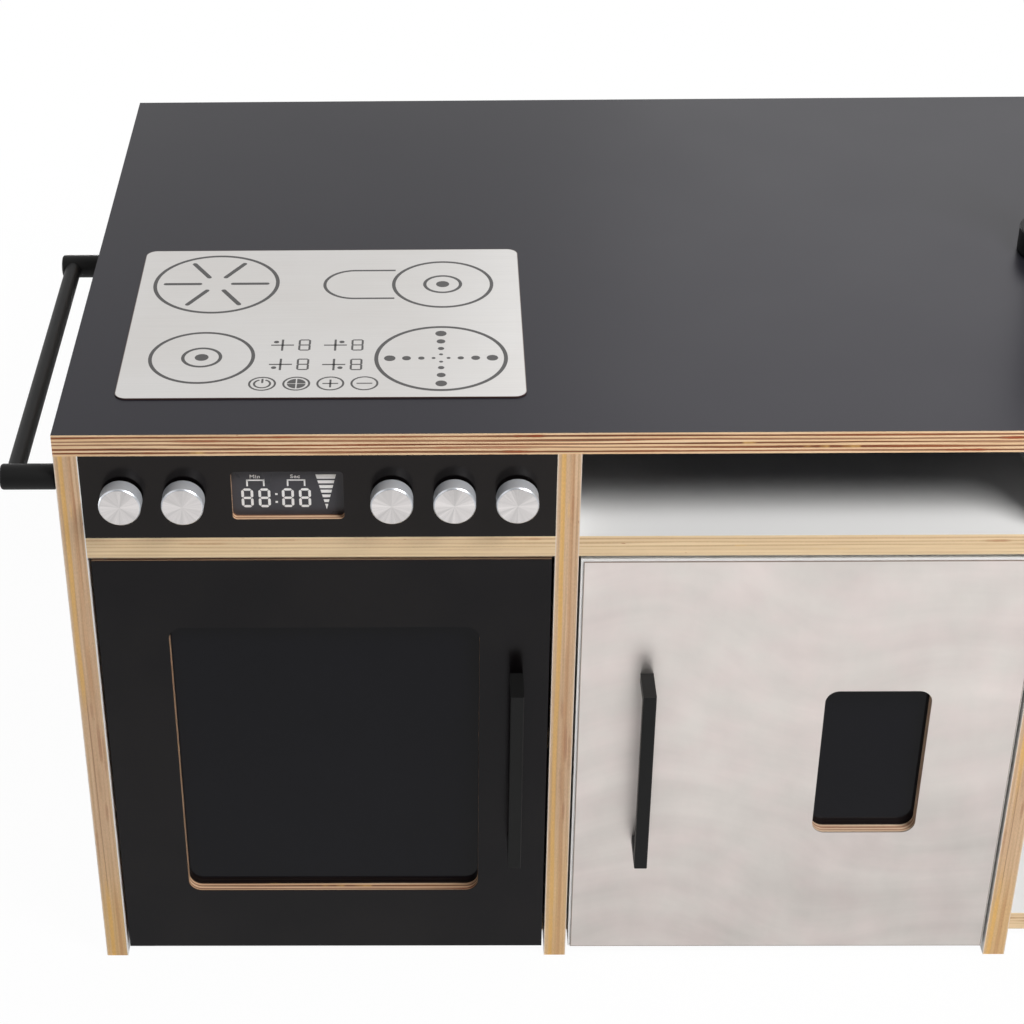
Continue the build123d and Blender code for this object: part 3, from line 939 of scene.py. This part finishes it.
def tube(path, radius, steps=40):
    """A round tube in a plane of constant y: each point of the path carries a circle that stands square to
    the path, between the path's side way and y."""
    path = np.asarray(path, float)
    way = np.gradient(path, axis=0)
    way /= np.linalg.norm(way, axis=1, keepdims=True)
    side = np.stack((-way[:, 1], way[:, 0]), axis=1)
    angle = np.linspace(0, 2 * np.pi, steps, endpoint=False)
    radius = np.broadcast_to(radius, len(path))[:, None]
    x = path[:, :1] + side[:, :1] * radius * np.cos(angle)
    z = path[:, 1:] + side[:, 1:] * radius * np.cos(angle)
    return np.stack((x, radius * np.sin(angle), z), axis=-1)


low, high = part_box("tap_base")
tap_x, tap_y = (low.x + high.x) * 500, (low.y + high.y) * 500
tail = low.z * 1000 - worktop_top
foot_radius, foot_high = (high.x - low.x) * 500, 20
body_radius, body_high = 22, high.z * 1000 - worktop_top
tail_radius, socket_radius, socket_floor = 10, 14.2, 40
edge_round = 1.6
corners = [(0, tail), (tail_radius, tail), (tail_radius, 0), (foot_radius, 0), (foot_radius, foot_high)]
corners += [(body_radius, foot_high), (body_radius, body_high), (socket_radius, body_high)]
corners += [(socket_radius, socket_floor), (0, socket_floor)]
base = turned(eased(corners, edge_round), (tap_x, tap_y, worktop_top), axis=2)
base = piece("turned_tap_base", [base], powder, "carcass", crease=30)
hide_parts("tap_base")

low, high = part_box("tap_spout")
stem = low.z * 1000 - worktop_top
crown = high.z * 1000 - worktop_top
stem_radius, pillar_radius = 13.9, 16
shoulder = body_high + 0.3
corners = [(0, stem), (stem_radius, stem), (stem_radius, shoulder), (pillar_radius, shoulder)]
corners += [(pillar_radius, crown), (0, crown)]
pillar = turned(eased(corners, edge_round), (tap_x, tap_y, worktop_top), axis=2)
arm_height, arm_reach, bend_radius = 138, 160, 22
bend = toward(np.linspace(90, 0, 17)) * bend_radius
bend += (arm_reach - bend_radius, arm_height - bend_radius)
path = [(6, arm_height), (40, arm_height), (90, arm_height), *bend]
path += [(arm_reach, 110), (arm_reach, 105.2), (arm_reach, 104)]
arm = tube(path, [9.0] * (len(path) - 1) + [8.2])
ends = [np.broadcast_to(end.mean(axis=1, keepdims=True), end.shape) for end in (arm[:1], arm[-1:])]
arm = np.concatenate((ends[0], arm, ends[1]))
arm = surface("arm", (arm + (tap_x, tap_y, worktop_top)) / 1000, ring=True)
spout = piece("bent_tap_spout", [pillar, arm], powder, "spout_body", crease=30)
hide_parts("tap_spout")


# Studio. A plain white floor, in a white room that shows to the camera and in gloss but gives little light.
# Soft lamps stand at the right front, at the left front, high behind, and low behind and at the left.

def looks(finish):
    """1 for what the camera sees, for what shows in gloss and for what shows through a clear piece."""
    rays = ("Is Camera Ray", "Is Glossy Ray", "Is Transmission Ray")
    return [finish.node("LightPath", {}, {}, output=ray) for ray in rays]


floor_mesh = surface("floor", np.array([[(-6, -6, 0), (6, -6, 0)], [(-6, 8, 0), (6, 8, 0)]], float))
floor = bpy.data.objects.new("studio_floor", floor_mesh)
bpy.context.scene.collection.objects.link(floor)
white_floor = Finish("white_floor", roughness=0.9)
white_floor.paint("Base Color", tint(236, 236, 236))
glow = white_floor.node("Emission", {}, {"Color": (1, 1, 1, 1), "Strength": 1.0})
seen, mirrored, through = looks(white_floor)
x, y, z = white_floor.parts(white_floor.place())
away = white_floor.ramp(white_floor.root(x * x + y * y), 0.7, 1.6)
seen = seen * (away * 0.03 + 0.97)
share = white_floor.sum("MAXIMUM", seen, white_floor.sum("MAXIMUM", mirrored, through) * 0.75)
plain = Reading(white_floor, white_floor.shader.outputs[0])
mixed = white_floor.node("MixShader", {}, {0: share, 1: plain, 2: glow})
white_floor.tree.links.new(mixed.socket, white_floor.tree.nodes["Material Output"].inputs["Surface"])
floor_mesh.materials.append(white_floor.material)


class Room(Finish):
    """The light of a world, written as formulas too."""

    def __init__(self, world):
        world.use_nodes = True
        self.tree = world.node_tree
        self.shader = self.tree.nodes["Background"]


world = bpy.data.worlds.new("white_room")
bpy.context.scene.world = world
room = Room(world)
seen, mirrored, through = looks(room)
way = room.parts(room.node("TexCoord", {}, {}, output="Generated"))
front = room.ramp(way[1], 0.1, -0.6)
share = room.sum("MAXIMUM", room.sum("MAXIMUM", seen, mirrored * (1 - front * 0.65)), through)
room.paint("Strength", share * 0.96 + 0.04)
room.paint("Color", (1, 1, 1, 1))

for name, place, aim, size, power in (
    ("right_front_lamp", (1.05, -1.33, 2.12), (0.1, -0.1, 0.4), 1.0, 61),
    ("left_front_lamp", (-1.9, -1.5, 1.5), (0.0, 0.0, 0.35), 1.4, 5),
    ("back_lamp", (0.9, 2.4, 2.3), (0.2, 0.1, 0.4), 1.8, 9),
    ("low_back_lamp", (-0.6, 2.2, 0.28), (0.0, 0.3, 0.25), 0.4, 13),
    ("low_left_lamp", (-2.3, 0.05, 0.28), (-0.55, 0.0, 0.25), 0.4, 12),
):
    lamp = bpy.data.lights.new(name, "AREA")
    lamp.shape = "SQUARE"
    lamp.size = size
    lamp.energy = power
    stand = bpy.data.objects.new(name, lamp)
    stand.location = place
    stand.rotation_euler = (Vector(aim) - Vector(place)).to_track_quat("-Z", "Y").to_euler()
    bpy.context.scene.collection.objects.link(stand)

# The camera stands where the photo's did, which was found from the straight edges of the boards.
pitch, yaw, roll = map(math.radians, (32.8395, -1.0440, -0.8141))
ahead = Vector((math.sin(yaw) * math.cos(pitch), math.cos(yaw) * math.cos(pitch), -math.sin(pitch)))
level = Vector((math.cos(yaw), -math.sin(yaw), 0))
above = level.cross(ahead)
right = math.cos(roll) * level + math.sin(roll) * above
up = math.cos(roll) * above - math.sin(roll) * level
lens = bpy.data.cameras.new("camera")
lens.sensor_width = 36
lens.lens = 81.375
lens.shift_x = 0.1059
lens.shift_y = 0.00226
camera = bpy.data.objects.new("camera", lens)
turn = Matrix((right, up, -ahead)).transposed().to_4x4()
camera_place = (-0.252904, -1.691219, 1.339754)
camera.matrix_world = Matrix.Translation(camera_place) @ turn
bpy.context.scene.collection.objects.link(camera)
bpy.context.scene.camera = camera
bpy.context.scene.view_settings.view_transform = "Standard"
